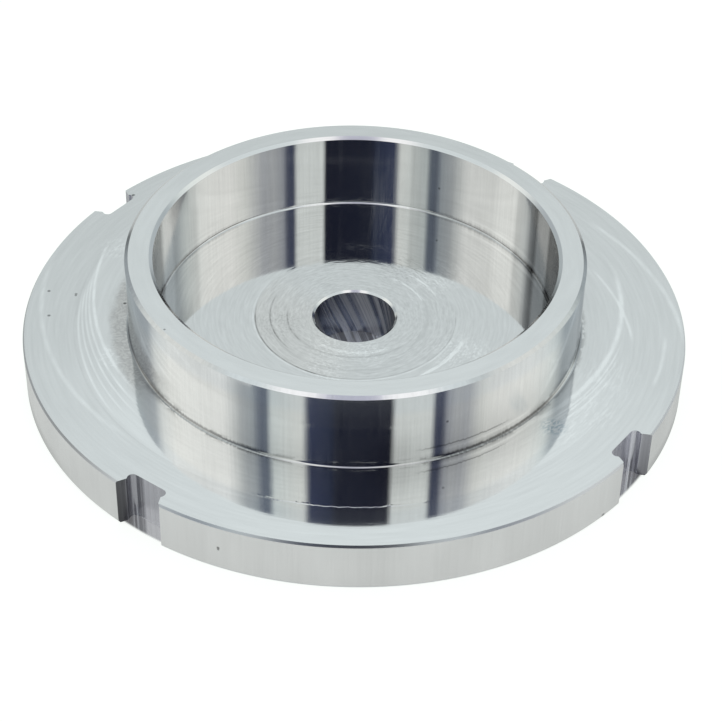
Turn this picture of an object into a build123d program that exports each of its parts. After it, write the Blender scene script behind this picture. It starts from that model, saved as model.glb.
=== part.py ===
from build123d import *
import math
import os

# Flanged ring, turned from one piece of aluminium bar. Millimetres, +Z up.
# The origin is on the turning axis at the flat underside, and one rim slot lies on +X.

# Flange: a flat disc with a plain rim
flange_radius = 40.0
flange_thickness = 6.3
rim_break = 0.2  # broken edge, top and bottom of the rim

# Collar: a thin-walled tube standing on the flange
collar_radius = 27.35
collar_height = 10.0  # above the flange face
collar_break = 0.35  # outer edge of the collar's end face

# Cup: the flat-floored space inside the collar, as deep as the collar is high
cup_radius = 24.05
cup_depth = 10.0
cup_break = 0.4  # inner edge of the collar's end face

# Bore: a drilled hole through the cup's floor
bore_radius = 4.9
bore_break = 0.15

# The turning tool's nose leaves this radius in both inner corners
nose_radius = 0.25

# Rim slots: notches for a pin wrench, milled right through the flange
slot_count = 4
slot_floor = 37.6  # distance of the slot's flat floor from the axis
slot_floor_half = 2.0  # half the width of that floor
relief_radius = 0.75  # cutter relief in each inner corner
relief_end = 53.0  # degrees from the outward direction to the ridge where the relief stops
mouth_half = 3.15  # half the slot's width at the rim
overrun = 1.0  # how far a cutter runs past what it cuts

collar_top = flange_thickness + collar_height
cup_floor = collar_top - cup_depth


def corner(section, radius, height):
    """The section's vertex nearest to a radius and a height."""
    return section.vertices().sort_by_distance((radius, height))[0]


def turned_section():
    """Half of the cross-section, drawn with the radius along X and the height along Y."""
    section = make_face(
        Polyline(
            (bore_radius, 0),
            (flange_radius, 0),
            (flange_radius, flange_thickness),
            (collar_radius, flange_thickness),
            (collar_radius, collar_top),
            (cup_radius, collar_top),
            (cup_radius, cup_floor),
            (bore_radius, cup_floor),
            close=True,
        )
    )
    for radius, height in ((collar_radius, flange_thickness), (cup_radius, cup_floor)):
        section = fillet(corner(section, radius, height), nose_radius)
    broken_edges = (
        (flange_radius, 0, rim_break),
        (flange_radius, flange_thickness, rim_break),
        (collar_radius, collar_top, collar_break),
        (cup_radius, collar_top, cup_break),
        (bore_radius, cup_floor, bore_break),
        (bore_radius, 0, bore_break),
    )
    for radius, height, size in broken_edges:
        section = chamfer(corner(section, radius, height), size)
    return section


def slot_side(side):
    """One side of a slot in plan: the relief arc at the floor, then the flared wall to the mouth."""
    centre = Vector(slot_floor + relief_radius, side * slot_floor_half)

    def on_relief(degrees):
        angle = math.radians(degrees)
        return centre + Vector(math.cos(angle), side * math.sin(angle)) * relief_radius

    ridge = on_relief(relief_end)
    rim = Vector(math.sqrt(flange_radius**2 - mouth_half**2), side * mouth_half)
    beyond = ridge + (rim - ridge) * (1 + overrun / (rim - ridge).length)
    relief = ThreePointArc(on_relief(180), on_relief((180 + relief_end) / 2), ridge)
    return relief + Line(ridge, beyond)


def slot_cutter():
    """The slot's plan, raised past both faces of the flange."""
    left, right = slot_side(-1), slot_side(1)
    floor = Line((slot_floor, -slot_floor_half), (slot_floor, slot_floor_half))
    ends = [side.vertices().sort_by(Axis.X)[-1] for side in (left, right)]
    outline = make_face(left + right + floor + Line(*ends))
    return Pos(0, 0, -overrun) * extrude(outline, flange_thickness + 2 * overrun)


def flanged_ring():
    """The turned blank with its rim slots milled out."""
    ring = revolve(Plane.XZ * turned_section(), Axis.Z)
    for turn in range(slot_count):
        ring -= Rot(0, 0, turn * 360 / slot_count) * slot_cutter()
    return ring


os.makedirs("parts", exist_ok=True)
export_step(flanged_ring(), "parts/flanged_ring.step")
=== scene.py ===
import math

import bmesh
import bpy
from mathutils import Matrix, Vector


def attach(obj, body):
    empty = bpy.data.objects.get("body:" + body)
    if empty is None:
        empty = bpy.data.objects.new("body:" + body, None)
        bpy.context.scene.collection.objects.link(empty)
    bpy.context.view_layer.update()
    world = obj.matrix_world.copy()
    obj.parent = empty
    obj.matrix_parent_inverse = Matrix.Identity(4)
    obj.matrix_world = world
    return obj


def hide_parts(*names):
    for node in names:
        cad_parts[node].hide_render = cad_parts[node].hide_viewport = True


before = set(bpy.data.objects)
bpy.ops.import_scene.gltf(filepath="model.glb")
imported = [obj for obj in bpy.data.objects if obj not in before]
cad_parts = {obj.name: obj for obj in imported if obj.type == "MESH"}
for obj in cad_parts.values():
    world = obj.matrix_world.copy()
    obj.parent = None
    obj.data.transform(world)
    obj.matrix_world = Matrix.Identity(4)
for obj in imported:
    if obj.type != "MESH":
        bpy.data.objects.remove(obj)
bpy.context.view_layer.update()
mm = 0.001
print("frame loaded:", sorted(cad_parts))


# what a user would change about the shape, in millimetres
ringShape = {
    "flangeRadius": 40.0,
    "flangeTop": 6.3,
    "ringTop": 16.3,
    "collarRadius": 27.35,
    "cupRadius": 24.05,
    "boreRadius": 4.9,
    "cupFloor": 6.3,
    "rimBreak": (0.18, 0.28),       # across the face, down the rim
    "collarBreak": (0.42, 0.32),
    "cupBreak": (0.42, 0.32),
    "boreBreak": (0.28, 0.20),
    "footBreak": 0.05,              # bore and slots, at the underside
    "noseRadius": 0.27,             # the tool's nose, left in both inner corners
    "noseShoulder": 0.04,           # a narrow band past each nose, so that the wall shades evenly
    "segments": 720,
    "slotCount": 4,
    "slotFloor": 37.6,
    "slotFloorHalf": 2.0,
    "reliefRadius": 0.75,
    "reliefEnd": 53.0,
    "mouthHalf": 3.15,
    "slotEdgeBreak": 0.12,
    "cutterClear": 0.3,             # how far the cutter reaches past both faces
    "cutterReach": 2.2,             # and past the mouth
}

zones = ["underside", "rim", "rimBreak", "flangeFace", "collarWall", "collarEdge", "edgeBreak",
         "collarFace", "cupWall", "cupFloor", "bore", "slot"]


def roundRun(centre, radius, startDegrees, endDegrees, steps=6):
    points = []
    for i in range(steps + 1):
        angle = math.radians(startDegrees + (endDegrees - startDegrees) * i / steps)
        points.append((centre[0] + radius * math.cos(angle), centre[1] + radius * math.sin(angle)))
    return points


def evenRun(start, end, steps):
    return [(start[0] + (end[0] - start[0]) * i / steps, start[1] + (end[1] - start[1]) * i / steps)
            for i in range(steps + 1)]


def turnedSection(shape):
    # the section from the bore's foot outwards, up and back in again: (zone, points) in mm
    rimX, rimZ = shape["rimBreak"]
    collarX, collarZ = shape["collarBreak"]
    cupX, cupZ = shape["cupBreak"]
    boreX, boreZ = shape["boreBreak"]
    nose = shape["noseRadius"]
    shoulder = nose + shape["noseShoulder"]
    foot = shape["footBreak"]
    rim, wall = shape["flangeRadius"], shape["collarRadius"]
    cup, bore = shape["cupRadius"], shape["boreRadius"]
    top, high, floor = shape["flangeTop"], shape["ringTop"], shape["cupFloor"]
    return [
        ("underside", evenRun((bore + foot, 0), (rim - rimX, 0), 8)),
        ("rimBreak", evenRun((rim - rimX, 0), (rim, rimZ), 1)),
        ("rim", evenRun((rim, rimZ), (rim, top - rimZ), 4)),
        ("rimBreak", evenRun((rim, top - rimZ), (rim - rimX, top), 1)),
        ("flangeFace", evenRun((rim - rimX, top), (wall + nose, top), 8)),
        ("collarWall", roundRun((wall + nose, top + nose), nose, 270, 180)),
        ("collarWall", evenRun((wall, top + nose), (wall, top + shoulder), 1)),
        ("collarWall", evenRun((wall, top + shoulder), (wall, high - collarZ), 5)),
        ("collarEdge", evenRun((wall, high - collarZ), (wall - collarX, high), 2)),
        ("collarFace", evenRun((wall - collarX, high), (cup + cupX, high), 3)),
        ("edgeBreak", evenRun((cup + cupX, high), (cup, high - cupZ), 2)),
        ("cupWall", evenRun((cup, high - cupZ), (cup, floor + shoulder), 5)),
        ("cupWall", evenRun((cup, floor + shoulder), (cup, floor + nose), 1)),
        ("cupWall", roundRun((cup - nose, floor + nose), nose, 0, -90)),
        ("cupFloor", evenRun((cup - nose, floor), (bore + boreX, floor), 8)),
        ("edgeBreak", evenRun((bore + boreX, floor), (bore, floor - boreZ), 1)),
        ("bore", evenRun((bore, floor - boreZ), (bore, foot), 4)),
        ("bore", evenRun((bore, foot), (bore + foot, 0), 1)),
    ]


def addObject(name, data):
    piece = bpy.data.objects.new(name, data)
    bpy.context.scene.collection.objects.link(piece)
    return piece


def meshFrom(bm, name):
    mesh = bpy.data.meshes.new(name)
    bm.to_mesh(mesh)
    bm.free()
    return mesh


def latheMesh(name, section, segments):
    rings = [section[0][1][0]]
    bands = []
    for zone, points in section:
        rings += points[1:]
        bands += [zones.index(zone)] * (len(points) - 1)
    rings.pop()                                  # the last point is the first again
    bm = bmesh.new()
    grid = []
    for radius, height in rings:
        row = []
        for k in range(segments):
            angle = 2 * math.pi * k / segments
            x, y = radius * math.cos(angle), radius * math.sin(angle)
            row.append(bm.verts.new((x * mm, y * mm, height * mm)))
        grid.append(row)
    for i, zone in enumerate(bands):
        low = grid[i]
        high = grid[(i + 1) % len(grid)]
        for k in range(segments):
            n = (k + 1) % segments
            face = bm.faces.new((low[k], low[n], high[n], high[k]))
            face.material_index = zone
            face.smooth = True
    bmesh.ops.recalc_face_normals(bm, faces=bm.faces)
    return meshFrom(bm, name)


def slotHalfOutline(shape):
    # one side of a slot in plan, from its floor out past the rim: (along, across) in mm
    relief = shape["reliefRadius"]
    centre = (shape["slotFloor"] + relief, shape["slotFloorHalf"])
    arc = roundRun(centre, relief, 180, shape["reliefEnd"], 10)
    ridge = arc[-1]
    mouth = (math.sqrt(shape["flangeRadius"] ** 2 - shape["mouthHalf"] ** 2), shape["mouthHalf"])
    reach = shape["cutterReach"]
    slope = (mouth[1] - ridge[1]) / (mouth[0] - ridge[0])
    outside = (mouth[0] + reach, mouth[1] + slope * reach)
    return arc + [mouth, outside]


def slotOutline(shape):
    half = slotHalfOutline(shape)
    return half + [(x, -y) for x, y in reversed(half)]


def grownOutline(points, growth):
    # every side moved outwards by the same amount, corners kept sharp
    grown = []
    count = len(points)
    for i, point in enumerate(points):
        before = Vector(points[i - 1])
        here = Vector(point)
        after = Vector(points[(i + 1) % count])
        inn = (here - before).normalized()
        out = (after - here).normalized()
        normalIn = Vector((-inn.y, inn.x))
        normalOut = Vector((-out.y, out.x))
        middle = (normalIn + normalOut).normalized()
        grown.append(here - middle * growth / max(0.5, middle.dot(normalIn)))
    return grown


def slotCutter(shape):
    edge = shape["slotEdgeBreak"]
    foot = shape["footBreak"]
    top = shape["flangeTop"]
    clear = shape["cutterClear"]
    plan = slotOutline(shape)
    below = grownOutline(plan, foot + clear)
    above = grownOutline(plan, edge + clear)
    levels = [(-clear, below), (foot, plan), (top - edge, plan), (top + clear, above)]
    bm = bmesh.new()
    for k in range(shape["slotCount"]):
        turn = Matrix.Rotation(2 * math.pi * k / shape["slotCount"], 4, "Z")
        rows = []
        for height, outline in levels:
            row = [turn @ Vector((x * mm, y * mm, height * mm)) for x, y in outline]
            rows.append([bm.verts.new(corner) for corner in row])
        for low, high in zip(rows, rows[1:]):
            for i in range(len(low)):
                n = (i + 1) % len(low)
                bm.faces.new((low[i], low[n], high[n], high[i]))
        bm.faces.new(list(reversed(rows[0])))
        bm.faces.new(rows[-1])
    for face in bm.faces:
        face.material_index = zones.index("slot")
        face.smooth = True
    bmesh.ops.recalc_face_normals(bm, faces=bm.faces)
    return meshFrom(bm, "slotCutter")


def addNode(tree, kind, **values):
    node = tree.nodes.new(kind)
    for key, value in values.items():
        setattr(node, key, value)
    return node


def emptyTree(owner, outputKind):
    owner.use_nodes = True
    tree = owner.node_tree
    tree.nodes.clear()
    return tree, addNode(tree, outputKind)


def feed(tree, value, socket):
    # plain numbers are set on the socket, anything else is linked to it
    if isinstance(value, (int, float, tuple)):
        socket.default_value = value
    else:
        tree.links.new(value, socket)


def joined(tree, kind, *parts):
    node = addNode(tree, kind)
    for part, socket in zip(parts, node.inputs):
        tree.links.new(part, socket)
    return node.outputs[0]


def maths(tree, operation, *values):
    node = addNode(tree, "ShaderNodeMath", operation=operation)
    for value, socket in zip(values, node.inputs):
        feed(tree, value, socket)
    return node.outputs[0]


def times(tree, first, second):
    return maths(tree, "MULTIPLY", first, second)


def timesPlus(tree, first, second, third):
    return maths(tree, "MULTIPLY_ADD", first, second, third)


def plus(tree, first, second):
    return maths(tree, "ADD", first, second)


def minus(tree, first, second):
    return maths(tree, "SUBTRACT", first, second)


def vectorMaths(tree, operation, first, second=None):
    node = addNode(tree, "ShaderNodeVectorMath", operation=operation)
    feed(tree, first, node.inputs[0])
    if second is not None:
        feed(tree, second, node.inputs[3 if operation == "SCALE" else 1])
    return node.outputs["Value" if operation in ("DISTANCE", "DOT_PRODUCT", "LENGTH") else "Vector"]


def plainNoise(tree, where, scale, detail, dimensions="3D"):
    noise = addNode(tree, "ShaderNodeTexNoise", noise_dimensions=dimensions)
    noise.inputs["Scale"].default_value = scale
    noise.inputs["Detail"].default_value = detail
    tree.links.new(where, noise.inputs["W" if dimensions == "1D" else "Vector"])
    return noise


def ramp(tree, value, stops):
    node = addNode(tree, "ShaderNodeValToRGB")
    elements = node.color_ramp.elements
    while len(elements) < len(stops):
        elements.new(0.5)
    for element, (place, colour) in zip(elements, stops):
        element.position = place
        if isinstance(colour, (int, float)):
            colour = (colour, colour, colour)
        element.color = (*colour, 1)
    tree.links.new(value, node.inputs[0])
    return node.outputs[0]


def mixColours(tree, amount, first, second):
    node = addNode(tree, "ShaderNodeMix", data_type="RGBA")
    feed(tree, amount, node.inputs[0])
    for colour, socket in ((first, node.inputs[6]), (second, node.inputs[7])):
        feed(tree, (*colour, 1) if isinstance(colour, tuple) else colour, socket)
    return node.outputs[2]


def polarPlace(tree, turn=0.0):
    # where a point lies on the turned part, in millimetres, with the plan turned back by some degrees
    place = addNode(tree, "ShaderNodeTexCoord")
    turned = addNode(tree, "ShaderNodeVectorRotate", rotation_type="Z_AXIS")
    turned.inputs["Angle"].default_value = -math.radians(turn)
    tree.links.new(vectorMaths(tree, "SCALE", place.outputs["Object"], 1 / mm), turned.inputs["Vector"])
    point = turned.outputs[0]
    split = addNode(tree, "ShaderNodeSeparateXYZ")
    tree.links.new(point, split.inputs[0])
    x, y, z = split.outputs
    flat = vectorMaths(tree, "MULTIPLY", point, (1, 1, 0))
    return {"point": point, "flat": flat, "unit": vectorMaths(tree, "NORMALIZE", flat),
            "radius": vectorMaths(tree, "LENGTH", flat), "x": x, "y": y, "z": z}


def stretchedNoise(tree, place, around, along, across, detail=2.0, offset=0.0):
    # noise drawn out round the part: around is how fine it is that way, along how fine across it, per mm
    lift = addNode(tree, "ShaderNodeCombineXYZ")
    tree.links.new(timesPlus(tree, across, along, offset), lift.inputs[2])
    spread = vectorMaths(tree, "SCALE", place["unit"], around)
    return plainNoise(tree, vectorMaths(tree, "ADD", spread, lift.outputs[0]), 1.0, detail).outputs[0]


def evenRange(tree, value, low, high, first=0.0, last=1.0, kind="LINEAR"):
    node = addNode(tree, "ShaderNodeMapRange", interpolation_type=kind)
    for name, number in (("From Min", low), ("From Max", high), ("To Min", first), ("To Max", last)):
        node.inputs[name].default_value = number
    tree.links.new(value, node.inputs["Value"])
    return node.outputs["Result"]


def smoothRange(tree, value, low, high, first=0.0, last=1.0):
    return evenRange(tree, value, low, high, first, last, "SMOOTHSTEP")


def lineAt(tree, value, centre, width):
    # 1 on the line, falling smoothly to 0 at its width either side
    gap = maths(tree, "ABSOLUTE", minus(tree, value, centre))
    return smoothRange(tree, gap, 0.0, width, 1.0, 0.0)


def window(tree, place, middle, reach, solid=0.6):
    # 1 on the middle azimuth of the part, fading out by reach degrees either side of it
    angle = math.radians(middle)
    facing = vectorMaths(tree, "DOT_PRODUCT", place["unit"], (math.cos(angle), math.sin(angle), 0))
    return smoothRange(tree, facing, math.cos(math.radians(reach)), math.cos(math.radians(reach * solid)))


def onSide(tree, place, settings, solid=0.6):
    return times(tree, window(tree, place, settings["middle"], settings["reach"], solid), settings["amount"])


def farFrom(tree, place, centre):
    return vectorMaths(tree, "DISTANCE", place["flat"], (*centre, 0))


def toolArc(tree, place, arc):
    # a cutter's arc on a face: a circle about its own centre, fading out at both ends
    line = lineAt(tree, farFrom(tree, place, arc["centre"]), arc["radius"], arc["width"])
    return times(tree, line, onSide(tree, place, arc))


def softSpot(tree, place, centre, size):
    return smoothRange(tree, farFrom(tree, place, centre), size * 0.3, size, 1.0, 0.0)


def roughPatch(tree, place, patch):
    # a place where the cutter chattered: fine uneven marks inside a soft round edge
    size = patch["size"]
    inside = softSpot(tree, place, patch["centre"], size)
    linesAndShade = stretchedNoise(tree, place, patch["around"], patch["along"], place["radius"], 3.0, size)
    flecks = smoothRange(tree, linesAndShade, 0.44, 0.70)
    return times(tree, times(tree, flecks, inside), patch["amount"])


def pitted(tree, place, level, spots):
    # inside a pit only a share of the level is left
    for spot in spots:
        gap = vectorMaths(tree, "DISTANCE", place["point"], spot["at"])
        size = spot["size"]
        hole = smoothRange(tree, gap, size * 0.35, size, spot["left"], 1.0)
        level = times(tree, level, hole)
    return level


def tinted(tree, tint, level):
    # one colour, lighter or darker by the level
    return vectorMaths(tree, "SCALE", tint, level)


def total(tree, values):
    result = values[0]
    for value in values[1:]:
        result = plus(tree, result, value)
    return result


def startMetal(settings, base):
    material = bpy.data.materials.new(settings["name"])
    tree, output = emptyTree(material, "ShaderNodeOutputMaterial")
    shader = addNode(tree, "ShaderNodeBsdfPrincipled")
    tree.links.new(shader.outputs[0], output.inputs[0])
    shader.inputs["Metallic"].default_value = 1.0
    shader.inputs["Base Color"].default_value = (*base, 1)
    shader.inputs["Roughness"].default_value = settings["roughness"]
    if "grain" in settings:
        shader.inputs["Anisotropic"].default_value = settings["grain"]
        shader.inputs["Anisotropic Rotation"].default_value = 0.25
        tangent = addNode(tree, "ShaderNodeTangent", direction_type="RADIAL", axis="Z")
        tree.links.new(tangent.outputs[0], shader.inputs["Tangent"])
    return material, tree, shader


def raiseSurface(tree, shader, height):
    # height is in millimetres
    bump = addNode(tree, "ShaderNodeBump")
    bump.inputs["Strength"].default_value = 1.0
    bump.inputs["Distance"].default_value = mm
    tree.links.new(height, bump.inputs["Height"])
    tree.links.new(bump.outputs[0], shader.inputs["Normal"])


facePlace = 36.0    # degrees the marks on the faces are turned by
white = (1.0, 1.0, 1.0)
bright = (0.9, 0.9, 0.9)


def side(middle, reach, amount, **more):
    # a stretch of the part about a middle azimuth, fading out by its reach, both in degrees
    return {"middle": middle, "reach": reach, "amount": amount, **more}


def cutterArc(centre, radius, width, middle, reach, amount):
    # lengths in mm; middle and reach are seen from the part's axis, not from the arc's centre
    return side(middle, reach, amount, centre=centre, radius=radius, width=width)


def wallLine(height, width, middle, reach, amount):
    return side(middle, reach, amount, height=height, width=width)


def chatter(centre, size, around, along, amount):
    # around and along are those of stretchedNoise
    return {"centre": centre, "size": size, "around": around, "along": along, "amount": amount}


def pit(at, size, left):
    return {"at": at, "size": size, "left": left}


def onWall(radius, azimuth, height):
    angle = math.radians(azimuth)
    return (radius * math.cos(angle), radius * math.sin(angle), height)


flangeSet = {
    "name": "facedFlange",
    "roughness": 0.048,
    "grain": 0.8,
    "dish": -0.85,               # degrees
    "facingLine": 33.8,
    "grooveHeight": 0.0012,
    "outerHaze": 0.015,          # outside the facing line
    "levelRadii": (27.6, 31.0),
    "levels": (0.77, 0.81),      # how bright the face is at those radii
    "streaks": 0.035,
    "dullSide": side(183, 75, -0.035),    # outside the facing line only
    "lighterFront": side(268, 80, 0.075),    # lighter about the front of the face
    "lighterFrontOuter": 0.6,           # the share of that outside the facing line
    "cornerShade": (27.5, 28.3, -0.38),   # painted shade in the corner, from the wall's foot out to nothing
    "waveHeight": 0.004,
    "ridge": side(267, 19, 0.014, width=0.22),
    "arcs": [
        cutterArc((3.3, 6.2), 35.5, 0.34, 184, 31, 0.20),
        cutterArc((3.4, 5.0), 36.0, 0.24, 190, 27, 0.15),
        cutterArc((3.5, 4.0), 36.4, 0.22, 192, 26, 0.15),
        cutterArc((3.6, 2.8), 36.8, 0.22, 193, 25, 0.14),
        cutterArc((3.8, 1.4), 37.3, 0.22, 194, 24, 0.12),
        cutterArc((3.5, 3.8), 36.5, 1.90, 192, 26, -0.05),
        cutterArc((-2.2, 4.7), 36.2, 0.50, 194, 32, 0.10),
        cutterArc((0.0, 0.0), 33.7, 0.40, 196, 42, -0.05),
        cutterArc((2.6, 5.1), 30.2, 0.50, 346, 36, 0.19),
        cutterArc((2.5, 4.8), 30.9, 0.20, 334, 20, 0.12),
        cutterArc((2.5, 4.8), 31.3, 0.20, 331, 17, 0.11),
        cutterArc((2.4, 4.6), 31.9, 0.20, 330, 15, 0.10),
        cutterArc((1.8, -4.6), 31.6, 0.34, 366, 14, 0.16),
        cutterArc((3.3, -3.9), 36.3, 0.50, 374, 22, 0.13),
        cutterArc((2.0, 1.2), 35.7, 0.40, 348, 8, 0.12),
    ],
    "patches": [
        chatter((23.4, -20.6), 3.4, 30, 3.5, 0.09),
        chatter((27.0, -17.0), 5.2, 26, 3.5, 0.09),
        chatter((30.0, -11.0), 5.2, 22, 3.0, 0.07),
        chatter((-28.0, -8.5), 3.0, 50, 2.0, 0.14),
        chatter((-30.0, 13.0), 3.0, 40, 2.5, 0.10),
    ],
    "pits": [
        pit((-29.25, 24.75, 6.3), 0.30, 0.35),
        pit((-29.45, 24.50, 6.3), 0.30, 0.35),
        pit((-37.63, 3.75, 6.3), 0.28, 0.40),
        pit((-34.24, 3.25, 6.3), 0.26, 0.45),
        pit((-34.24, 2.95, 6.3), 0.22, 0.50),
        pit((-37.01, -1.13, 6.3), 0.28, 0.40),
        pit((-28.10, 1.56, 6.3), 0.28, 0.30),
    ],
    # brown curls beside the wall, and a bluish speckle
    "swirl": {"middle": 188, "reach": 30, "edge": 29.7, "light": (0.64, 0.625, 0.61),
              "dark": (0.50, 0.485, 0.48)},
    "speckle": {"centre": (22.9, -19.9), "size": 2.0, "colour": (0.62, 0.68, 0.72)},
}


def flangeMetal(settings):
    material, tree, shader = startMetal(settings, white)
    place = polarPlace(tree, facePlace)
    radius = place["radius"]
    facing = settings["facingLine"]
    outer = smoothRange(tree, radius, facing - 0.1, facing + 0.1)
    tree.links.new(timesPlus(tree, outer, -settings["outerHaze"], 1.0), shader.inputs["Metallic"])
    streaks = stretchedNoise(tree, place, 5, 2.2, radius, 3.0, 4.0)
    blotches = stretchedNoise(tree, place, 14, 1.1, radius, 3.0, 9.0)
    parts = [evenRange(tree, radius, *settings["levelRadii"], *settings["levels"])]
    parts.append(evenRange(tree, streaks, 0.25, 0.75, -settings["streaks"], settings["streaks"]))
    parts.append(times(tree, outer, onSide(tree, place, settings["dullSide"], 0.5)))
    arcs = total(tree, [toolArc(tree, place, arc) for arc in settings["arcs"]])
    parts.append(times(tree, arcs, evenRange(tree, blotches, 0.3, 0.7, 0.55, 1.3)))
    parts += [roughPatch(tree, place, patch) for patch in settings["patches"]]
    share = timesPlus(tree, outer, settings["lighterFrontOuter"] - 1.0, 1.0)
    parts.append(times(tree, onSide(tree, place, settings["lighterFront"]), share))
    level = maths(tree, "MINIMUM", total(tree, parts), 1.0)
    # painted shade in the corner at the wall's foot, broken up by the blotches
    corner = smoothRange(tree, radius, *settings["cornerShade"], 0.0)
    cornerShaded = timesPlus(tree, smoothRange(tree, blotches, 0.46, 0.54), corner, 1.0)
    colour = tinted(tree, white, times(tree, level, cornerShaded))
    swirl = settings["swirl"]
    ragged = timesPlus(tree, blotches, 1.2, minus(tree, radius, 0.6))
    edge = swirl["edge"]
    inSwirl = times(tree, smoothRange(tree, ragged, edge - 1.0, edge + 0.5, 0.9, 0.0),
                    window(tree, place, swirl["middle"], swirl["reach"], 0.5))
    curls = plainNoise(tree, place["flat"], 0.75, 5.0)
    curls.inputs["Distortion"].default_value = 3.0
    brown = mixColours(tree, smoothRange(tree, curls.outputs[0], 0.38, 0.62), swirl["dark"], swirl["light"])
    colour = mixColours(tree, inSwirl, colour, brown)
    speckle = settings["speckle"]
    inSpeckle = softSpot(tree, place, speckle["centre"], speckle["size"])
    grain = stretchedNoise(tree, place, 70, 5.0, radius, 2.0, 5.0)
    spotted = times(tree, inSpeckle, smoothRange(tree, grain, 0.42, 0.56))
    colour = mixColours(tree, spotted, colour, speckle["colour"])
    tree.links.new(tinted(tree, colour, pitted(tree, place, 1.0, settings["pits"])),
                   shader.inputs["Base Color"])
    heights = [times(tree, radius, math.tan(math.radians(settings["dish"])))]
    grooves = stretchedNoise(tree, place, 6, 5.0, radius)
    heights.append(times(tree, grooves, settings["grooveHeight"]))
    waves = stretchedNoise(tree, place, 3, 0.8, radius, 1.0, 7.0)
    heights.append(times(tree, waves, settings["waveHeight"]))
    wobble = timesPlus(tree, stretchedNoise(tree, place, 40, 0.0, radius, 3.0), 0.5, radius)
    ridge = settings["ridge"]
    heights.append(times(tree, lineAt(tree, wobble, facing + 0.25, ridge["width"]),
                         onSide(tree, place, ridge, 0.3)))
    raiseSurface(tree, shader, total(tree, heights))
    return material


cupFloorSet = {
    "name": "facedCup",
    "roughness": 0.05,
    "grain": 0.8,
    "grooveHeight": 0.0012,
    "rippleHeight": 0.005,
    "level": 0.775,
    "streaks": 0.05,
    "swirlRadius": 12.2,
    "warmSide": {"middle": 205, "reach": 75, "tint": (1.0, 0.98, 0.965)},
    "inwardScratches": side(80, 7, -0.06),    # they run in from the wall
    "roundScratches": side(80, 21, -0.14),    # they follow the cut
    "arcs": [
        cutterArc((0.1, 0.1), 12.2, 0.16, 215, 52, -0.34),
        cutterArc((0.1, 0.1), 12.2, 0.14, 300, 80, -0.14),
        cutterArc((0.1, 0.1), 12.45, 0.20, 250, 120, 0.10),
        cutterArc((0.0, 0.2), 10.3, 0.17, 190, 34, -0.30),
        cutterArc((0.0, 0.0), 10.5, 0.30, 250, 60, -0.07),
        cutterArc((0.0, 0.0), 8.2, 0.20, 196, 24, -0.22),
        cutterArc((0.0, 0.0), 8.1, 0.26, 262, 62, -0.12),
        cutterArc((0.3, -0.2), 7.0, 0.40, 268, 40, 0.15),
        cutterArc((-1.2, 1.0), 15.2, 0.34, 322, 22, 0.20),
        cutterArc((-2.0, 2.0), 16.6, 0.26, 325, 18, 0.14),
        cutterArc((0.0, 0.0), 10.8, 0.30, 398, 16, 0.18),
        cutterArc((0.0, 0.0), 8.9, 0.30, 400, 22, 0.14),
        cutterArc((0.0, 0.0), 8.9, 0.50, 350, 34, -0.06),
    ],
    "patches": [
        chatter((13.0, -7.0), 5.0, 30, 4.0, 0.13),
        chatter((10.0, 8.5), 5.0, 26, 4.0, 0.13),
        chatter((-3.0, -6.3), 4.0, 18, 4.0, 0.13),
        chatter((-3.5, -10.6), 4.0, 30, 4.0, 0.12),
        chatter((1.5, -7.0), 3.5, 18, 4.0, 0.12),
        chatter((-9.0, -2.0), 4.0, 24, 4.0, -0.12),
        chatter((6.0, 9.5), 4.5, 26, 4.0, -0.14),
    ],
}


def cupFloorMetal(settings):
    material, tree, shader = startMetal(settings, white)
    place = polarPlace(tree, facePlace)
    radius = place["radius"]
    edge = settings["swirlRadius"]
    inner = smoothRange(tree, radius, edge - 0.2, edge + 0.1, 1.0, 0.0)
    streaks = stretchedNoise(tree, place, 5, 3.2, radius, 4.0, 4.0)
    fine = stretchedNoise(tree, place, 10, 4.0, radius, 4.0, 8.0)
    level = settings["level"]
    swing = settings["streaks"]
    parts = [evenRange(tree, streaks, 0.28, 0.72, level - swing, level + swing)]
    parts.append(times(tree, inner, evenRange(tree, fine, 0.3, 0.7, -0.08, 0.03)))
    arcs = total(tree, [toolArc(tree, place, arc) for arc in settings["arcs"]])
    parts.append(times(tree, arcs, evenRange(tree, fine, 0.32, 0.62, 0.35, 1.4)))
    parts += [roughPatch(tree, place, patch) for patch in settings["patches"]]
    level = maths(tree, "MINIMUM", total(tree, parts), 1.0)
    cool = tinted(tree, white, level)
    warmSide = settings["warmSide"]
    warm = tinted(tree, warmSide["tint"], level)
    onWarm = times(tree, inner, window(tree, place, warmSide["middle"], warmSide["reach"], 0.3))
    tree.links.new(mixColours(tree, onWarm, cool, warm), shader.inputs["Base Color"])
    inwards = smoothRange(tree, stretchedNoise(tree, place, 150, 0.04, radius, 2.0, 3.0), 0.48, 0.60)
    nearWall = times(tree, smoothRange(tree, radius, 14.5, 20.0),
                     onSide(tree, place, settings["inwardScratches"], 0.5))
    rounds = smoothRange(tree, stretchedNoise(tree, place, 11, 9.0, radius, 2.0, 6.0), 0.50, 0.66)
    onRing = times(tree, lineAt(tree, radius, 14.3, 1.5),
                   onSide(tree, place, settings["roundScratches"], 0.5))
    marked = timesPlus(tree, inwards, nearWall, 1.0)
    tree.links.new(timesPlus(tree, rounds, onRing, marked), shader.inputs["Metallic"])
    grooves = stretchedNoise(tree, place, 6, 4.0, radius)
    heights = [times(tree, grooves, settings["grooveHeight"])]
    ripple = stretchedNoise(tree, place, 10, 2.0, radius, 2.0, 11.0)
    heights.append(times(tree, times(tree, ripple, inner), settings["rippleHeight"]))
    raiseSurface(tree, shader, total(tree, heights))
    return material


bothWalls = {
    "roughness": 0.07,
    "grain": 0.85,
    "grooveHeight": 0.0006,
    "fibreHeight": 0.0010,
    "levels": (0.86, 0.92),
    "hairs": 0.03,
    "threads": 0.05,
    "coolTint": (0.965, 0.985, 1.01),
}

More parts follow.
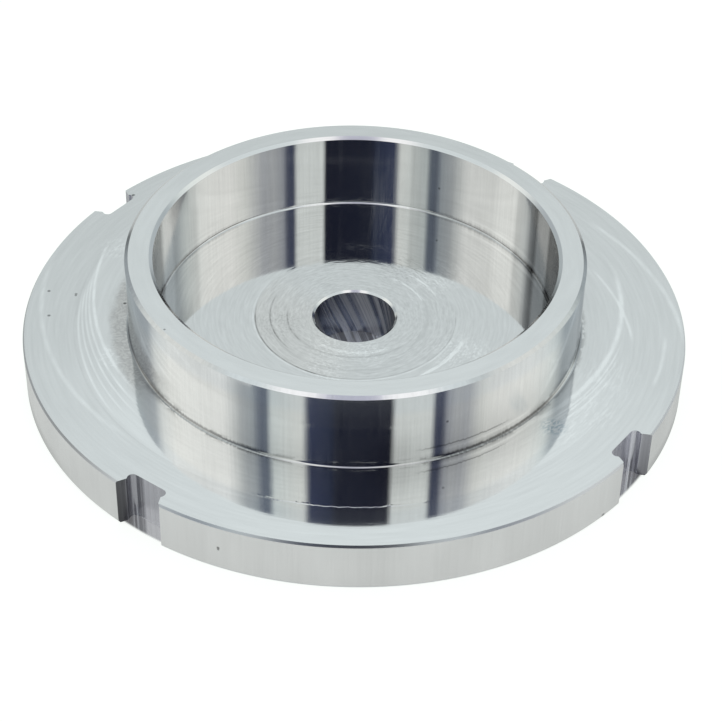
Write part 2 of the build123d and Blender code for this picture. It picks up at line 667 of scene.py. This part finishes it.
outerWallSet = {
    **bothWalls,
    "name": "turnedCollar",
    "duller": [side(313, 14, 0.14)],
    "hazeFrom": 13.5,            # above this height the cut is a little duller
    "haze": 0.030,
    "linesAndShade": [
        wallLine(6.50, 0.45, 232, 24, -0.45),
        wallLine(6.60, 0.90, 200, 20, -0.35),
        # painted shade: the wall is darker low down here
        wallLine(6.90, 2.40, 198, 22, -0.14),
        wallLine(6.48, 0.40, 308, 24, -0.50),
        wallLine(8.05, 0.20, 298, 14, -0.35),
        wallLine(7.45, 0.35, 303, 18, 0.10),
    ],
    "shaded": [                  # heights run from where a shade begins to where it is full
        side(351, 10, -0.22),
        side(306, 34, -0.19, heights=(14.5, 6.5)),
        side(262, 24, -0.08, heights=(13.0, 6.5)),
    ],
    "scuffs": [side(262, 16, 0.02, top=13.0)],
    "rubs": [wallLine(6.95, 0.30, 268, 16, 0.30),
             wallLine(8.30, 0.25, 262, 10, 0.04)],
    "pushed": (16.0, 13.0, 0.085),    # across X: its middle, how wide and how high, in mm
    "pits": [pit(onWall(27.35, 292.5, 11.42), 0.22, 0.4)],
}

cupWallSet = {
    **bothWalls,
    "name": "boredCup",
    "duller": [side(2, 32, 0.16), side(178, 32, 0.13)],
    "hazeFrom": 18.0,            # past the top of the wall
    "haze": 0.0,
    "linesAndShade": [
        wallLine(6.55, 0.50, 44, 28, -0.26),
        wallLine(7.40, 0.40, 35, 26, 0.08),
        wallLine(6.55, 0.45, 146, 22, -0.22),
    ],
    "shaded": [
        side(4, 26, -0.42),
        side(5, 10, -0.40),
        side(24.8, 2.2, -0.08),
        side(28, 7, -0.22),
        side(54, 13, -0.08),
        side(69, 5, -0.16),
        side(153, 8, -0.16),
        side(156, 7, -0.14, heights=(12.0, 16.0)),
        side(180, 14, -0.52),
        side(92, 24, 0.05),
    ],
    "scuffs": [side(81, 9, 0.060, top=15.0),
               side(112, 5, 0.03, top=12.0)],
    "rubs": [wallLine(6.85, 0.45, 88, 16, 0.22),
             wallLine(7.80, 0.60, 86, 12, 0.06)],
    "pushed": (-13.0, 9.0, 0.168),
    "pits": [pit(onWall(24.05, 64, 10.4), 0.22, 0.4)],
}


def wallMetal(settings):
    material, tree, shader = startMetal(settings, bright)
    place = polarPlace(tree, facePlace)
    height = place["z"]
    cloud = stretchedNoise(tree, place, 7, 0.15, height, 3.0, 4.0)
    hairs = stretchedNoise(tree, place, 110, 0.10, height, 2.0, 6.0)
    ragged = timesPlus(tree, hairs, 0.5, minus(tree, height, 0.25))
    parts = [evenRange(tree, cloud, 0.3, 0.7, *settings["levels"])]
    parts.append(evenRange(tree, hairs, 0.3, 0.7, -settings["hairs"], settings["hairs"]))
    for mark in settings["linesAndShade"]:
        parts.append(times(tree, lineAt(tree, ragged, mark["height"], mark["width"]),
                           onSide(tree, place, mark, 0.5)))
    for stretch in settings["shaded"]:
        shade = onSide(tree, place, stretch, 0.7)
        if "heights" in stretch:
            shade = times(tree, shade, smoothRange(tree, height, *stretch["heights"]))
        parts.append(shade)
    level = pitted(tree, place, total(tree, parts), settings["pits"])
    cool = tinted(tree, settings["coolTint"], level)
    plain = tinted(tree, white, level)
    hazed = smoothRange(tree, ragged, settings["hazeFrom"] - 0.5, settings["hazeFrom"] + 0.9)
    tree.links.new(mixColours(tree, hazed, plain, cool), shader.inputs["Base Color"])
    # fine hairlines up the wall catch a little light of their own
    threads = stretchedNoise(tree, place, 75, 0.06, height, 2.0, 12.0)
    threads = evenRange(tree, threads, 0.50, 0.70, 0.0, -settings["threads"])
    threads = times(tree, threads, smoothRange(tree, height, 7.0, 15.5, 0.15, 1.0))
    shine = timesPlus(tree, hazed, -settings["haze"], plus(tree, threads, 1.0))
    for scuff in settings["scuffs"]:
        worn = times(tree, window(tree, place, scuff["middle"], scuff["reach"], 0.3),
                     evenRange(tree, height, scuff["top"], 6.5, 0.0, -scuff["amount"]))
        shine = timesPlus(tree, worn, smoothRange(tree, hairs, 0.44, 0.60, 0.3, 2.0), shine)
    flecks = smoothRange(tree, stretchedNoise(tree, place, 20, 6.0, height, 3.0, 15.0), 0.48, 0.66)
    for rub in settings["rubs"]:
        line = times(tree, lineAt(tree, ragged, rub["height"], rub["width"]),
                     onSide(tree, place, rub, 0.3))
        shine = minus(tree, shine, times(tree, line, flecks))
    tree.links.new(shine, shader.inputs["Metallic"])
    grooves = stretchedNoise(tree, place, 8, 5.0, height)
    grooves = times(tree, grooves, settings["grooveHeight"])
    fibres = stretchedNoise(tree, place, 60, 0.25, height, 3.0)
    fibres = times(tree, fibres, settings["fibreHeight"])
    dulled = total(tree, [onSide(tree, place, stretch, 0.4) for stretch in settings["duller"]])
    tree.links.new(plus(tree, dulled, settings["roughness"]), shader.inputs["Roughness"])
    # the tool pushed the wall a little out of true here
    middle, width, lift = settings["pushed"]
    pushed = times(tree, lineAt(tree, place["x"], middle, width), lift)
    raiseSurface(tree, shader, total(tree, [grooves, fibres, pushed]))
    return material


ringFaceSet = {
    "name": "facedRing",
    "roughness": 0.12,
    "levels": (0.82, 0.87),
    "darkening": side(90, 80, -0.055),
    "grain": 0.8,
    "grooveHeight": 0.0014,
    "pits": [pit((-21.35, -16.02, 16.3), 0.20, 0.45)],
}

undersideSet = {
    "name": "facedUnderside",
    "roughness": 0.22,
    "levels": (0.82, 0.87),
    "darkening": side(30, 60, -0.03),
    "grain": 0.8,
    "grooveHeight": 0.0030,
    "pits": [],
}


def ringFaceMetal(settings):
    material, tree, shader = startMetal(settings, bright)
    place = polarPlace(tree, facePlace)
    radius = place["radius"]
    cloud = stretchedNoise(tree, place, 5, 1.2, radius, 3.0, 2.0)
    level = evenRange(tree, cloud, 0.3, 0.7, *settings["levels"])
    level = plus(tree, level, onSide(tree, place, settings["darkening"], 0.4))
    level = pitted(tree, place, level, settings["pits"])
    tree.links.new(tinted(tree, white, level), shader.inputs["Base Color"])
    grooves = stretchedNoise(tree, place, 10, 4.0, radius)
    raiseSurface(tree, shader, times(tree, grooves, settings["grooveHeight"]))
    return material


rimSet = {
    "name": "turnedRim",
    "levels": (0.885, 0.915),
    "cloud": 0.05,
    "footShade": 0.24,             # painted shade: darker by this along the foot, away from the lit front, where the rim mirrors the shaded table beside it
    "litMiddle": 270,
    "litReach": 66,
    "darkening": side(338, 22, -0.08),
    "roughness": 0.25,
    "grain": 0.6,
    "grooveHeight": 0.0008,
    "pits": [
        pit(onWall(40, 249, 3.15), 0.24, 0.3),
        pit(onWall(40, 249, 2.90), 0.20, 0.4),
        pit(onWall(40, 315.3, 0.40), 0.35, 0.4),
    ],
}


def rimMetal(settings):
    material, tree, shader = startMetal(settings, bright)
    place = polarPlace(tree, facePlace)
    hairs = stretchedNoise(tree, place, 160, 0.10, place["z"], 2.0, 3.0)
    broad = stretchedNoise(tree, place, 6, 0.05, place["z"], 2.0, 8.0)
    level = plus(tree, evenRange(tree, hairs, 0.3, 0.7, *settings["levels"]),
                 evenRange(tree, broad, 0.3, 0.7, -settings["cloud"], settings["cloud"]))
    # painted shade along the foot, away from the lit front: the rim mirrors the shaded table beside it
    footShade = minus(tree, 1.0, window(tree, place, settings["litMiddle"], settings["litReach"], 0.75))
    foot = smoothRange(tree, place["z"], 0.2, 2.4, -settings["footShade"], 0.0)
    level = timesPlus(tree, footShade, foot, level)
    level = plus(tree, level, onSide(tree, place, settings["darkening"], 0.4))
    level = pitted(tree, place, level, settings["pits"])
    tree.links.new(tinted(tree, white, level), shader.inputs["Base Color"])
    grooves = stretchedNoise(tree, place, 12, 4.0, place["z"])
    raiseSurface(tree, shader, times(tree, grooves, settings["grooveHeight"]))
    return material


boreSet = {
    "name": "drilledBore",
    "roughness": 0.28,
    "roughStops": [(0.42, 0.16), (0.5, 0.30), (0.58, 0.55)],
    "streakStops": [(0.43, (0.25, 0.28, 0.37)), (0.60, (0.98, 0.98, 1.0))],
    "streakHeight": 0.10,
    "twist": -0.085,             # radians for every millimetre up
    "litMiddle": 90,
    "litReach": 88,
    "shade": 0.62,               # painted shade: taken off away from the lit stretch of the wall, darkening both ends of the bore
}


def boreMetal(settings):
    material, tree, shader = startMetal(settings, (0.62, 0.64, 0.70))
    place = polarPlace(tree, facePlace)
    # the drill's lands leave slanting streaks, so the wall's pattern turns as it goes down
    twist = addNode(tree, "ShaderNodeVectorRotate", rotation_type="Z_AXIS")
    tree.links.new(place["flat"], twist.inputs["Vector"])
    tree.links.new(times(tree, place["z"], settings["twist"]), twist.inputs["Angle"])
    noise = plainNoise(tree, twist.outputs[0], 1.1, 6.0)
    noise.inputs["Roughness"].default_value = 0.62
    tree.links.new(ramp(tree, noise.outputs[0], settings["roughStops"]), shader.inputs["Roughness"])
    streaks = ramp(tree, noise.outputs[0], settings["streakStops"])
    # painted shade: the bore darkens towards both ends, away from its lit back wall
    litStretch = window(tree, place, settings["litMiddle"], settings["litReach"], 0.35)
    level = timesPlus(tree, litStretch, settings["shade"], 1.0 - settings["shade"])
    tree.links.new(tinted(tree, streaks, level), shader.inputs["Base Color"])
    raiseSurface(tree, shader, times(tree, noise.outputs[0], settings["streakHeight"]))
    return material


slotSet = {
    "name": "milledSlot",
    "roughness": 0.20,
    "metallic": 0.72,
    "tint": (0.97, 0.97, 1.05),
    "waveHeight": 0.02,
    "levels": (0.74, 1.00),
    "ySlots": 0.70,              # the two Y slots are darker
    "flank": 2.45,               # mm off the slot's middle, where its flanks begin
    "flankLevel": 0.90,          # at the relief
    "mouthFrom": (37.6, 39.4),   # mm from the axis
    "mouthLevels": (0.24, 0.80, 0.55),    # on either flank of the Y slots, then for the X slots
    "footToTop": (0.7, 1.1),     # painted shade: the flanks get brighter upwards, darker towards the foot
}


def slotMetal(settings):
    material, tree, shader = startMetal(settings, (0.62, 0.63, 0.66))
    place = polarPlace(tree)
    noise = plainNoise(tree, place["flat"], 1.9, 3.0)
    level = evenRange(tree, noise.outputs[0], 0.32, 0.68, *settings["levels"])
    x, y = place["x"], place["y"]
    # how far a point is off its slot's middle, positive the same way round in all of them
    alongX = maths(tree, "GREATER_THAN", maths(tree, "ABSOLUTE", x), maths(tree, "ABSOLUTE", y))
    offX = times(tree, y, maths(tree, "SIGN", x))
    offY = times(tree, times(tree, x, -1.0), maths(tree, "SIGN", y))
    off = plus(tree, times(tree, offX, alongX),
               times(tree, offY, minus(tree, 1.0, alongX)))
    # painted shade on the flanks: darker out towards the mouth, more on one flank of the Y slots than on the
    # other, and down towards the foot
    onFlank = smoothRange(tree, maths(tree, "ABSOLUTE", off), settings["flank"], settings["flank"] + 0.25)
    oneSide, otherSide, both = settings["mouthLevels"]
    mouth = smoothRange(tree, off, -0.1, 0.1, oneSide, otherSide)
    mouth = timesPlus(tree, alongX, minus(tree, both, mouth), mouth)
    outwards = smoothRange(tree, place["radius"], *settings["mouthFrom"])
    relief = settings["flankLevel"]
    flank = timesPlus(tree, outwards, minus(tree, mouth, relief), relief)
    flank = times(tree, flank, evenRange(tree, place["z"], 0.0, 6.3, *settings["footToTop"]))
    darkening = timesPlus(tree, onFlank, minus(tree, flank, 1.0), 1.0)
    level = times(tree, level, darkening)
    perSlot = timesPlus(tree, alongX, 1.0 - settings["ySlots"], settings["ySlots"])
    level = times(tree, level, perSlot)
    tree.links.new(tinted(tree, settings["tint"], level), shader.inputs["Base Color"])
    shader.inputs["Metallic"].default_value = settings["metallic"]
    raiseSurface(tree, shader, times(tree, noise.outputs[0], settings["waveHeight"]))
    return material


edgeBreakSet = {
    "name": "edgeBreak",
    "base": bright,
    "roughness": 0.14,
    "grooveHeight": 0.0008,
    "darkening": side(196, 40, 0.0),
}

rimBreakSet = {
    "name": "rimBreak",
    "base": (0.76, 0.78, 0.82),
    "roughness": 0.28,
    "grooveHeight": 0.0008,
    "darkening": side(196, 40, -0.38),
}


def breakMetal(settings):
    material, tree, shader = startMetal(settings, settings["base"])
    place = polarPlace(tree, facePlace)
    level = plus(tree, onSide(tree, place, settings["darkening"], 0.5), 1.0)
    tree.links.new(tinted(tree, settings["base"], level), shader.inputs["Base Color"])
    grooves = stretchedNoise(tree, place, 30, 4.0, place["z"])
    raiseSurface(tree, shader, times(tree, grooves, settings["grooveHeight"]))
    return material


collarEdgeSet = {
    "name": "collarEdge",
    "roughness": 0.14,
    "litMiddle": 268,
    "litReach": 34,
    "levels": (0.72, 0.92),
    "hairs": 0.04,
    "hairHeights": (0.0008, 0.0040),
}


def collarEdgeMetal(settings):
    # painted highlight: the edge is brighter about the lit front and darker round the rest
    material, tree, shader = startMetal(settings, bright)
    place = polarPlace(tree, facePlace)
    litStretch = window(tree, place, settings["litMiddle"], settings["litReach"], 0.75)
    hairs = stretchedNoise(tree, place, 60, 0.5, place["z"], 3.0, 4.0)
    first, last = settings["levels"]
    level = plus(tree, timesPlus(tree, litStretch, last - first, first),
                 evenRange(tree, hairs, 0.3, 0.7, -settings["hairs"], settings["hairs"]))
    tree.links.new(tinted(tree, (0.98, 0.99, 1.0), level), shader.inputs["Base Color"])
    low, high = settings["hairHeights"]
    raiseSurface(tree, shader, times(tree, hairs, timesPlus(tree, litStretch, high - low, low)))
    return material


finishes = {
    "underside": ringFaceMetal(undersideSet),
    "rim": rimMetal(rimSet),
    "rimBreak": breakMetal(rimBreakSet),
    "flangeFace": flangeMetal(flangeSet),
    "collarWall": wallMetal(outerWallSet),
    "collarEdge": collarEdgeMetal(collarEdgeSet),
    "edgeBreak": breakMetal(edgeBreakSet),
    "collarFace": ringFaceMetal(ringFaceSet),
    "cupWall": wallMetal(cupWallSet),
    "cupFloor": cupFloorMetal(cupFloorSet),
    "bore": boreMetal(boreSet),
    "slot": slotMetal(slotSet),
}
materials = [finishes[zone] for zone in zones]
print("finishes made:", len(materials))


def makeRing(shape):
    turned = latheMesh("flangedRing", turnedSection(shape), shape["segments"])
    blank = addObject("flangedRing", turned)
    cutter = addObject("slotCutter", slotCutter(shape))
    for piece in (blank, cutter):
        for material in materials:
            piece.data.materials.append(material)
    cut = blank.modifiers.new("slots", "BOOLEAN")
    cut.operation = "DIFFERENCE"
    cut.solver = "MANIFOLD"
    cut.object = cutter
    graph = bpy.context.evaluated_depsgraph_get()
    mesh = bpy.data.meshes.new_from_object(blank.evaluated_get(graph))
    blank.modifiers.clear()
    blank.data = mesh
    bpy.data.objects.remove(cutter)
    bm = bmesh.new()
    bm.from_mesh(mesh)
    for edge in bm.edges:
        if len(edge.link_faces) != 2:
            continue
        first, second = edge.link_faces
        differs = first.material_index != second.material_index
        sharpTurn = edge.calc_face_angle(0) > math.radians(22)
        edge.smooth = not (differs or sharpTurn)
    bm.to_mesh(mesh)
    print("ring faces:", len(bm.faces), "open edges:", sum(1 for e in bm.edges if not e.is_manifold))
    bm.free()
    return blank


ring = makeRing(ringShape)
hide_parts("flanged_ring")
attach(ring, "root")


# the studio: azimuths are in degrees from the camera's side, positive to its right
studio = {
    "cameraAzimuth": 306.0,
    "around": [
        (-158, (0.42, 0.47, 0.48)),
        (-132, (0.40, 0.44, 0.46)),
        (-125, (0.43, 0.47, 0.49)),
        (-117, (0.80, 0.84, 0.82)),
        (-104, (0.92, 0.94, 0.90)),
        (-68, (0.89, 0.91, 0.88)),
        (-61, (0.60, 0.63, 0.62)),
        (-57, (0.42, 0.45, 0.46)),
        (-51, (0.36, 0.40, 0.42)),
        (-48.5, (0.19, 0.22, 0.26)),
        (-46, (0.13, 0.155, 0.20)),
        (-43.2, (0.15, 0.18, 0.22)),
        (-41.0, (0.64, 0.70, 0.69)),
        (-25, (0.73, 0.76, 0.73)),
        (-22, (0.040, 0.050, 0.095)),
        (-11, (0.025, 0.033, 0.062)),
        (-8, (0.013, 0.016, 0.030)),
        (18.6, (0.011, 0.013, 0.025)),
        (20.8, (0.72, 0.76, 0.74)),
        (38.6, (0.71, 0.75, 0.73)),
        (40.6, (0.05, 0.06, 0.10)),
        (44.6, (0.06, 0.07, 0.11)),
        (47, (0.33, 0.35, 0.38)),
        (52, (0.44, 0.46, 0.47)),
        (58, (0.42, 0.44, 0.46)),
        (68, (0.78, 0.80, 0.76)),
        (78, (0.92, 0.93, 0.89)),
        (100, (0.92, 0.94, 0.90)),
        (119, (0.76, 0.82, 0.80)),
        (130, (0.40, 0.45, 0.47)),
        (150, (0.46, 0.51, 0.53)),
    ],
    "above": [
        (-150, (0.96, 0.98, 0.99)),
        (-125, (0.66, 0.72, 0.73)),
        (-58, (0.66, 0.72, 0.73)),
        (-48, (1.00, 1.00, 1.00)),
        (-26, (1.00, 1.00, 1.00)),
        (-18, (0.48, 0.49, 0.58)),
        (18, (0.48, 0.49, 0.58)),
        (24, (1.00, 1.00, 1.00)),
        (48, (1.00, 1.00, 1.00)),
        (58, (0.66, 0.72, 0.73)),
        (125, (0.66, 0.72, 0.73)),
        (150, (0.96, 0.98, 0.99)),
    ],
    "paperFrom": (159, 168),        # the paper fades in between these, either side of the back
    "paperHeights": (20, 70),
    "paperLow": (0.58, 0.63, 0.63),
    "paperHigh": (0.90, 0.98, 1.00),
    # how far up the upper colours begin, from the front to the sides; then what the back adds to it
    "sideDrop": (50, 62, 50, 45),
    "backRise": (120, 150, 0, 13),
    "dimming": (-2, 9, 0.25, 1.0),  # low down the surroundings are darker
}


def makeWorld(settings):
    world = bpy.data.worlds.new("studio")
    bpy.context.scene.world = world
    tree, output = emptyTree(world, "ShaderNodeOutputWorld")
    background = addNode(tree, "ShaderNodeBackground")
    tree.links.new(background.outputs[0], output.inputs[0])
    place = addNode(tree, "ShaderNodeTexCoord")
    turn = addNode(tree, "ShaderNodeVectorRotate", rotation_type="Z_AXIS")
    turn.inputs["Angle"].default_value = -math.radians(settings["cameraAzimuth"] - 270)
    tree.links.new(place.outputs["Generated"], turn.inputs["Vector"])
    split = addNode(tree, "ShaderNodeSeparateXYZ")
    tree.links.new(turn.outputs[0], split.inputs[0])
    x, y, z = split.outputs
    azimuth = maths(tree, "ARCTAN2", x, times(tree, y, -1.0))
    turns = timesPlus(tree, azimuth, 1 / (2 * math.pi), 0.5)
    around = ramp(tree, turns, [((a + 180) / 360, colour) for a, colour in settings["around"]])
    above = ramp(tree, turns, [((a + 180) / 360, colour) for a, colour in settings["above"]])
    elevation = times(tree, maths(tree, "ARCSINE", z), 180 / math.pi)
    # the white paper behind the object gets brighter with height
    upwards = evenRange(tree, elevation, *settings["paperHeights"])
    paper = mixColours(tree, upwards, settings["paperLow"], settings["paperHigh"])
    offFront = maths(tree, "ABSOLUTE", times(tree, azimuth, 180 / math.pi))
    walls = mixColours(tree, smoothRange(tree, offFront, *settings["paperFrom"]), around, paper)
    start = smoothRange(tree, offFront, *settings["sideDrop"])
    start = plus(tree, start, smoothRange(tree, offFront, *settings["backRise"]))
    lifted = minus(tree, elevation, start)
    sky = mixColours(tree, smoothRange(tree, lifted, 0, 6), walls, above)
    dimmed = tinted(tree, sky, smoothRange(tree, elevation, *settings["dimming"]))
    rays = addNode(tree, "ShaderNodeLightPath")
    shown = mixColours(tree, rays.outputs["Is Camera Ray"], dimmed, white)
    tree.links.new(shown, background.inputs["Color"])


tableSet = {
    "radius": 0.45,              # this and the drop below the ring are in metres
    "drop": 0.00002,
    "matt": (0.25, 0.25, 0.25),
    "glow": (0.97, 1.0, 0.97),
    "seen": 0.90,                # how bright it is to the camera, then in the metal
    "mirrored": 0.49,
    "underRing": (39.2, 39.6),   # mm from the axis
    "underBore": (8, 14),
    "slant": 0.29,               # of the streaks, across for every mm back
    "streakStops": [(0.44, (0.13, 0.14, 0.19)), (0.58, (0.84, 0.86, 0.92))],
    "sheen": (0.75, 0.75, 0.75),
    "sheenRoughness": (0.48, 0.08),       # under the bore, under the metal
    "through": (0.05, 0.10),              # painted glow on the shaded sheet, the same way
}


def makeTable(settings):
    bm = bmesh.new()
    bmesh.ops.create_circle(bm, cap_ends=True, segments=96, radius=settings["radius"])
    table = addObject("studioTable", meshFrom(bm, "studioTable"))
    table.location.z = -settings["drop"]
    material = bpy.data.materials.new("paperTable")
    tree, output = emptyTree(material, "ShaderNodeOutputMaterial")
    matt = addNode(tree, "ShaderNodeBsdfDiffuse")
    matt.inputs[0].default_value = (*settings["matt"], 1)
    glow = addNode(tree, "ShaderNodeEmission")
    glow.inputs["Color"].default_value = (*settings["glow"], 1)
    rays = addNode(tree, "ShaderNodeLightPath")
    level = plus(tree, times(tree, rays.outputs["Is Camera Ray"], settings["seen"]),
                 times(tree, rays.outputs["Is Glossy Ray"], settings["mirrored"]))
    tree.links.new(level, glow.inputs["Strength"])
    lit = joined(tree, "ShaderNodeAddShader", matt.outputs[0], glow.outputs[0])
    # under the ring the sheet is in shade and mirrors the metal, with a little painted glow on it
    sheen = addNode(tree, "ShaderNodeBsdfGlossy")
    through = addNode(tree, "ShaderNodeEmission")
    place = polarPlace(tree, facePlace)
    outwards = smoothRange(tree, place["radius"], *settings["underBore"])
    # streaks below the bore carry on from those on its wall
    across = timesPlus(tree, place["y"], settings["slant"], place["x"])
    noise = plainNoise(tree, across, 1.1, 6.0, "1D")
    streaks = ramp(tree, noise.outputs[0], settings["streakStops"])
    tree.links.new(mixColours(tree, outwards, streaks, settings["sheen"]), sheen.inputs["Color"])
    tree.links.new(evenRange(tree, outwards, 0, 1, *settings["sheenRoughness"]),
                   sheen.inputs["Roughness"])
    tree.links.new(evenRange(tree, outwards, 0, 1, *settings["through"]), through.inputs["Strength"])
    under = joined(tree, "ShaderNodeAddShader", sheen.outputs[0], through.outputs[0])
    clear = smoothRange(tree, place["radius"], *settings["underRing"])
    tree.links.new(joined(tree, "ShaderNodeMixShader", clear, under, lit), output.inputs[0])
    table.data.materials.append(material)


makeWorld(studio)
makeTable(tableSet)

cameraPlace = {
    "lens": 102.345,                # with a 36 mm wide sensor
    "stand": (0.0, -196.793, 159.806),
    "aim": (0.844, -8.706, 6.3),
    "roll": 1.2468,                 # degrees, right side up
    "azimuth": 36.0,                # how far the camera has walked round the ring
}


def makeCamera(place):
    data = bpy.data.cameras.new("camera")
    data.sensor_width = 36.0
    data.lens = place["lens"]
    data.clip_start = 0.01
    data.clip_end = 10.0
    camera = addObject("camera", data)
    stand = Vector(place["stand"]) * mm
    aim = Vector(place["aim"]) * mm
    forward = (aim - stand).normalized()
    right = forward.cross(Vector((0, 0, 1))).normalized()
    up = right.cross(forward)
    tilt = math.radians(place["roll"])
    tiltedRight = right * math.cos(tilt) + up * math.sin(tilt)
    tiltedUp = up * math.cos(tilt) - right * math.sin(tilt)
    pose = Matrix((tiltedRight, tiltedUp, -forward)).transposed().to_4x4()
    pose.translation = stand
    camera.matrix_world = Matrix.Rotation(math.radians(place["azimuth"]), 4, "Z") @ pose
    bpy.context.scene.camera = camera


makeCamera(cameraPlace)
bpy.context.scene.view_settings.view_transform = "Standard"
print("studio and camera ready")
